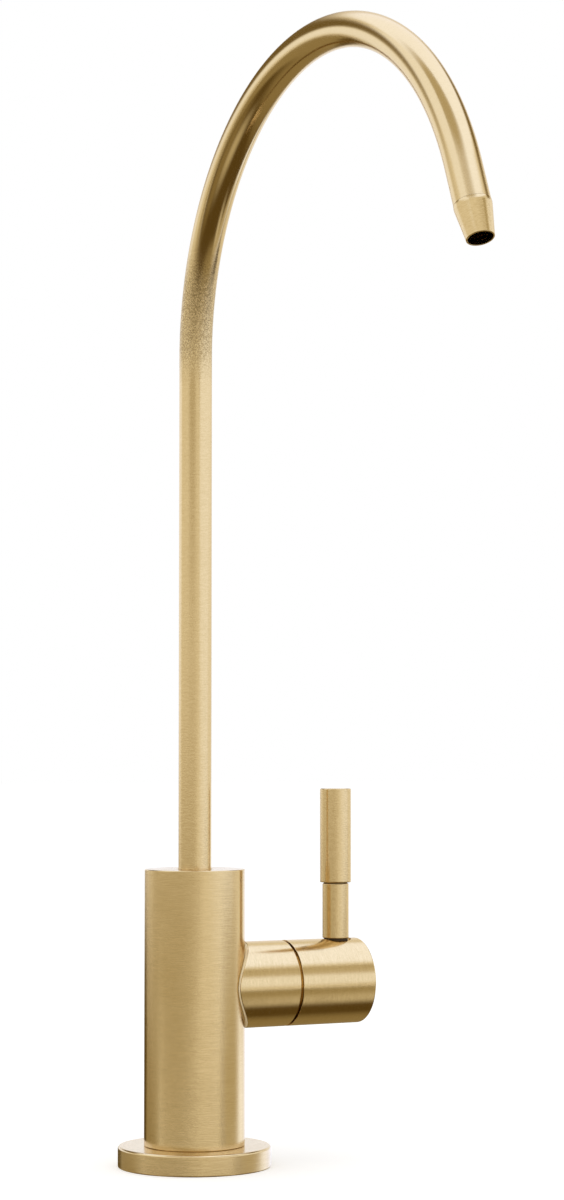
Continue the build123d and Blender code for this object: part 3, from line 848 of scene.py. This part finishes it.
def make_shank():
    """Threaded from end to end, 24 turns to the inch, with chamfered ends and its bore right through."""
    foot, top, crest = shank_low.z, shank_high.z, shank_high.x
    pitch = 25.4 / 24
    depth = 0.54 * pitch
    chamfer = 0.7
    bore = 2.8
    end_radius = crest - depth - 0.1
    bm = screw_surface(foot, top, crest, depth, pitch)

    # Each end is cut twice inside the chamfer, so that it has rings of points, and then cut off
    ends = []
    for end, outward in ((foot, -1), (top, 1)):
        for inset in (chamfer, chamfer / 2, 0):
            plane = {"plane_co": (0, 0, end - inset * outward), "plane_no": (0, 0, outward)}
            cut_off = inset == 0
            cut = bmesh.ops.bisect_plane(bm, geom=all_of(bm), dist=touching, clear_outer=cut_off, **plane)
        ends.append(edges_of(cut["geom_cut"]))
    for vert in bm.verts:
        limit = end_radius + min(vert.co.z - foot, top - vert.co.z)
        reach = hypot(vert.co.x, vert.co.y)
        if reach > limit:
            bmesh.ops.scale(bm, vec=(limit / reach, limit / reach, 1), verts=[vert])

    # The end faces run in to the bore, and the bore joins them
    inwards = (bore / end_radius, bore / end_radius, 1)
    rims = []
    for loop in ends:
        face = bmesh.ops.extrude_edge_only(bm, edges=loop)["geom"]
        bmesh.ops.scale(bm, vec=inwards, verts=verts_of(face))
        rims += edges_of(face)
    bmesh.ops.bridge_loops(bm, edges=rims)
    bmesh.ops.recalc_face_normals(bm, faces=bm.faces[:])
    finish_piece(bm, "threaded_shank", shank_brass, "faucet_body", "mounting_shank")


def make_clamp():
    """The washers and the nut that pull the faucet down on the deck."""
    soft = flat_ring(rubber_low, rubber_high, screw_bore, (0.2, 0.5, 0.5, 0.2))
    finish_piece(soft, "soft_washer", black_rubber, "faucet_body", "rubber_washer")
    plain = flat_ring(steel_low, steel_high, screw_bore, (0.1, 0.1, 0.35, 0.2))
    finish_piece(plain, "flat_washer", zinc_steel, "faucet_body", "steel_washer")

    # The lock washer is split by a leaning slot
    foot, top = lock_low.z, lock_high.z
    spring = flat_ring(lock_low, lock_high, screw_bore, (0.15, 0.25, 0.25, 0.15))
    lean = Matrix.Translation((0, 0, (foot + top) / 2)) @ Matrix.Rotation(radians(25), 4, "Y")
    slot_width = 1.6
    split = slot_cutter(slot_width, 2 * lock_high.x, -3, 3)
    bmesh.ops.transform(split, matrix=lean, verts=split.verts)
    spring = carved(spring, [split])
    finish_piece(spring, "split_washer", zinc_steel, "faucet_body", "lock_washer")

    foot, top = nut_low.z, nut_high.z
    nut = turned([(screw_bore, foot, 0.35), *hexagon_rim(nut_high, foot, top), (screw_bore, top, 0.35)])
    nut = six_flats(nut, nut_high.y)
    finish_piece(nut, "hex_nut", zinc_steel, "faucet_body", "mounting_nut")


def make_adapter():
    """The push-fit adapter: a hexagon to turn it on the shank by, and below it the socket for the tubing."""
    foot, top = adapter_low.z, adapter_high.z
    washer_thickness = 1.5
    stop_wall = 3.4
    socket_length = 6
    thread_end = shank_low.z - washer_thickness
    tube_stop = thread_end - stop_wall
    hexagon_foot = tube_stop
    way_bore = 2.4
    seal_top = tube_stop - socket_length
    seal_foot = seal_top - 1.8
    seal_bore = 4.975
    mouth_bore = 4.925
    socket_radius = mouth_bore + 2.3
    groove_radius = socket_radius - 0.325
    groove_top = hexagon_foot - 2.2
    groove_foot = groove_top - 0.8
    groove_slope = 0.3
    adapter = turned([
        (mouth_bore, foot, 0.15),
        (socket_radius, foot, 0.5),
        (socket_radius, groove_foot - groove_slope, 0.2),
        (groove_radius, groove_foot, 0.1),
        (groove_radius, groove_top, 0.1),
        (socket_radius, groove_top + groove_slope, 0.2),
        (socket_radius, hexagon_foot, 0.4),
        *hexagon_rim(adapter_high, hexagon_foot, top),
        (screw_bore, top, 0.3),
        (screw_bore, thread_end),
        (way_bore, thread_end),
        (way_bore, tube_stop),
        (supply_bore, tube_stop),
        (supply_bore, seal_top),
        (seal_bore, seal_top),
        (seal_bore, seal_foot),
        (mouth_bore, seal_foot),
    ])
    adapter = six_flats(adapter, adapter_high.y)
    finish_piece(adapter, "push_fit_adapter", white_plastic, "faucet_body", "inlet_adapter")


def make_collet():
    """A sleeve with a flange to press, a barbed end inside, and four slots that let it spring."""
    foot, top, rim = collet_low.z, collet_high.z, collet_high.x
    flange_top = foot + 1.4
    sleeve_radius = supply_bore + 1.05
    barb_radius = sleeve_radius + 0.6
    barb_foot = top - 3
    barb_crest = top - 1.6
    end_radius = 4.4
    slot_width = 0.8
    slot_reach = barb_radius + 0.6
    sleeve = turned([
        (supply_bore, foot, 0.3),
        (rim, foot, 0.4),
        (rim, flange_top, 0.2),
        (sleeve_radius, flange_top, 0.1),
        (sleeve_radius, barb_foot),
        (barb_radius, barb_foot),
        (barb_radius, barb_crest, 0.3),
        (end_radius, top),
        (supply_bore, top),
    ], small_steps)
    above = top + 1
    turns = [0, pi / 2, pi, 3 * pi / 2]
    slots = [slot_cutter(slot_width, slot_reach, adapter_low.z, above, turn) for turn in turns]
    sleeve = carved(sleeve, slots)
    finish_piece(sleeve, "collet_sleeve", grey_plastic, "collet", "collet")


make_flange()
make_body()
make_spout()
make_nozzle()
make_collar()
make_hub()
make_lever()
make_gasket()
make_shank()
make_clamp()
make_adapter()
make_collet()

# The pieces inside keep the frame's own shapes
finishes = {
    "satin_gold": column_gold,
    "plain_brass": cartridge_brass,
    "steel": zinc_steel,
    "black_rubber": black_rubber,
    "ceramic": lapped_ceramic,
    "white_plastic": white_plastic,
    "grey_plastic": grey_plastic,
}
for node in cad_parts.values():
    for held in node.material_slots:
        held.material = finishes[held.material.name.split(".")[0]]


# Studio

def ray_share(nodes):
    """1 for rays that see the background as it is: straight from the camera, mirrored or through glass."""
    path = nodes.add("ShaderNodeLightPath")
    seen = nodes.math("MAXIMUM", path.outputs["Is Camera Ray"], path.outputs["Is Glossy Ray"])
    return nodes.math("MAXIMUM", seen, path.outputs["Is Transmission Ray"])


def make_world():
    """White where it is seen, and a little dimmer as a light."""
    world = bpy.data.worlds.new("studio")
    bpy.context.scene.world = world
    world.use_nodes = True
    nodes = Nodes(world.node_tree)
    background = world.node_tree.nodes["Background"]
    background.inputs["Color"].default_value = (1, 1, 1, 1)
    nodes.put(background.inputs["Strength"], nodes.spread(ray_share(nodes), 0, 1, 0.75, 1.0))


def stage_material(name):
    """A material without nodes, for the stage, and the input that takes its surface."""
    material = bpy.data.materials.new(name)
    material.use_nodes = True
    material.node_tree.nodes.clear()
    nodes = Nodes(material.node_tree)
    return material, nodes, nodes.add("ShaderNodeOutputMaterial").inputs["Surface"]


def clear(nodes):
    return nodes.add("ShaderNodeBsdfTransparent").outputs[0]


def stage_plane(name, half_width, half_height, material):
    bm = bmesh.new()
    bmesh.ops.create_grid(bm, x_segments=1, y_segments=1, size=1)
    bmesh.ops.scale(bm, vec=(half_width, half_height, 1), verts=bm.verts)
    mesh = bpy.data.meshes.new(name)
    bm.to_mesh(mesh)
    bm.free()
    mesh.materials.append(material)
    plane = bpy.data.objects.new(name, mesh)
    bpy.context.scene.collection.objects.link(plane)
    return plane


def make_floor():
    """Pale from above, with a little glow so that it runs into the white behind, and clear from below."""
    material, nodes, surface = stage_material("studio_floor")
    diffuse = nodes.add("ShaderNodeBsdfDiffuse")
    diffuse.inputs["Color"].default_value = (0.9, 0.9, 0.9, 1)
    glow = nodes.add("ShaderNodeEmission")
    nodes.put(glow.inputs["Strength"], nodes.times(ray_share(nodes), 0.35))
    lit = nodes.add("ShaderNodeAddShader")
    nodes.put(lit.inputs[0], diffuse.outputs[0])
    nodes.put(lit.inputs[1], glow.outputs[0])
    from_below = nodes.add("ShaderNodeNewGeometry").outputs["Backfacing"]
    nodes.put(surface, nodes.either(from_below, lit.outputs[0], clear(nodes)))
    half_metres = 8
    floor = stage_plane("floor", half_metres, half_metres, material)
    floor.visible_glossy = False


# Where the screens stand round, in metres
panel_centre = Vector((0, -0.05, 0.15))
deck_centre = Vector((0, 0, 0.03))


def tone(level):
    """A screen's colour at a brightness: brown where it is dark, a cool white where it is bright."""
    green, blue = (1.2, 1.8) if level < 1 else (1.4, 2.5)
    return (level, level**green, level**blue, 1)


def towards(azimuth, elevation):
    """A heading from an azimuth, from +Y towards +X, and an elevation, both in radians."""
    return Vector((sin(azimuth) * cos(elevation), cos(azimuth) * cos(elevation), sin(elevation)))


def screen_material(name, level, size, soft):
    """Glows evenly and fades out at an oval edge."""
    material, nodes, surface = stage_material(name)
    material.cycles.emission_sampling = "NONE"
    glow = nodes.add("ShaderNodeEmission")
    glow.inputs["Color"].default_value = tone(level)
    inside = nodes.vector("DIVIDE", nodes.add("ShaderNodeTexCoord").outputs["Object"], size)
    reach = nodes.vector("LENGTH", inside)
    cover = nodes.spread(reach, 1 - soft, 1 + soft, 1, 0, curve="SMOOTHSTEP")
    nodes.put(surface, nodes.either(cover, clear(nodes), glow.outputs[0]))
    return material


def panel(name, level, at, half, soft, distance, centre=panel_centre):
    """A soft-edged screen that only shows in the faucet's metal. Where two overlap, the nearer one shows.

    At is its azimuth, from +Y towards +X, and its elevation. Half is half its width and height as angles.
    All four are in degrees.
    """
    aim = towards(radians(at[0]), radians(at[1]))
    size = (distance * tan(radians(half[0])), distance * tan(radians(half[1])), 1)
    material = screen_material(name, level, size, soft)
    plane = stage_plane(name, size[0] * (1 + soft), size[1] * (1 + soft), material)
    plane.location = centre + aim * distance
    up = Vector((0, 1, 0)) if abs(aim.z) > 0.999 else Vector((0, 0, 1))
    right = aim.cross(up).normalized()
    turn = Matrix((right, right.cross(aim).normalized(), -aim)).transposed()
    plane.rotation_mode = "QUATERNION"
    plane.rotation_quaternion = turn.to_quaternion()
    plane.visible_camera = False
    plane.visible_diffuse = False
    plane.visible_transmission = False
    plane.visible_volume_scatter = False
    plane.visible_shadow = False


def make_screens():
    """Bright screens make the metal's pale bands and dim ones its dark bands, as reflectors and flags do."""
    # Above and below
    panel("sky", 1.4, at=(0, 90), half=(46.5, 46.5), soft=0.15, distance=4.0)
    panel("ground", 0.13, at=(0, -90), half=(78, 78), soft=0.3, distance=4.0)

    # On the left
    panel("sky_grey", 0.65, at=(-114, 64), half=(28, 20), soft=0.5, distance=3.9)
    panel("left_glow", 1.25, at=(-79, 41), half=(37, 16), soft=0.15, distance=3.95)
    panel("left_dim", 0.55, at=(-132, 10), half=(25, 4), soft=0.65, distance=3.45)
    panel("left_low", 0.53, at=(-106, -6.3), half=(63, 4), soft=0.65, distance=3.38)
    panel("left_shade", 0.32, at=(-80, -30), half=(20, 13), soft=0.55, distance=3.32)
    panel("ground_left", 0.67, at=(-93, -56), half=(14.5, 16), soft=0.8, distance=3.3)

    # On the right
    panel("right_band", 0.28, at=(77, 36), half=(22, 8), soft=0.5, distance=3.4)
    panel("right_key", 1.22, at=(112, 12), half=(65, 18), soft=0.3, distance=3.6)
    panel("right_streak", 1.0, at=(78, -9), half=(38, 11.5), soft=0.8, distance=3.15)
    panel("right_dark", 0.05, at=(113, -12), half=(27, 6), soft=0.25, distance=3.1)

    # Behind, mirrored in the outermost rims
    panel("back_flag", 0.22, at=(-10, 29), half=(34, 11), soft=0.45, distance=3.42)
    panel("back_horizon", 1.1, at=(37, 10), half=(37, 20), soft=0.3, distance=3.58)
    panel("back_key", 1.25, at=(-17, 8), half=(23.5, 10), soft=0.35, distance=3.5)
    panel("right_edge", 1.25, at=(48, -7), half=(17, 7), soft=0.4, distance=3.24)
    panel("left_edge", 0.14, at=(3, -10), half=(20, 5), soft=0.3, distance=3.25)
    panel("back_low", 0.4, at=(-10, -21), half=(53, 16), soft=0.3, distance=3.27)
    panel("ground_back", 0.36, at=(22, -42), half=(36, 38), soft=0.6, distance=3.28)

    # In front
    panel("front_dim", 0.62, at=(138, 34), half=(9, 4), soft=0.5, distance=3.33)
    panel("front_band", 0.72, at=(158, 28), half=(36, 8.5), soft=0.7, distance=3.34)
    panel("front_streak", 0.45, at=(164, -25), half=(46, 11), soft=0.35, distance=3.22)
    panel("front_floor", 0.8, at=(139, -37), half=(8, 12.5), soft=0.8, distance=3.05)

    # Near the deck, where they reach the flange and the body's foot more than the rest
    panel("deck_right", 1.35, at=(98, -10), half=(40, 6.7), soft=0.4, distance=0.65, centre=deck_centre)
    panel("deck_front", 0.64, at=(116, -8), half=(27, 8.4), soft=0.55, distance=0.5, centre=deck_centre)


def make_softbox():
    """A square soft light overhead that lays the floor's shadow and doesn't show in the metal."""
    side = 1.6
    power = 1.2  # watts for each square metre of it
    light = bpy.data.lights.new("overhead", "AREA")
    light.shape = "RECTANGLE"
    light.size = side
    light.size_y = side
    light.energy = power * side**2
    lamp = bpy.data.objects.new("overhead", light)
    bpy.context.scene.collection.objects.link(lamp)
    lamp.location = (0.2, -0.2, 1.5)
    aim = Vector((0, 0, 0.15)) - lamp.location
    lamp.rotation_mode = "QUATERNION"
    lamp.rotation_quaternion = aim.to_track_quat("-Z", "Y")
    lamp.visible_glossy = False


def make_camera():
    """The camera's place, heading, pitch and lens were fitted to the photograph's outlines."""
    heading = radians(27.828)
    pitch = radians(3.004)
    data = bpy.data.cameras.new("camera")
    data.sensor_width = 36
    data.lens = 84.75
    data.clip_start = 0.01
    data.clip_end = 100
    camera = bpy.data.objects.new("camera", data)
    bpy.context.scene.collection.objects.link(camera)
    camera.location = (-0.3599, -0.7357, 0.1198)
    camera.rotation_mode = "QUATERNION"
    camera.rotation_quaternion = towards(heading, pitch).to_track_quat("-Z", "Y")
    bpy.context.scene.camera = camera


make_world()
make_floor()
make_screens()
make_softbox()
make_camera()

scene = bpy.context.scene
scene.view_settings.view_transform = "Standard"
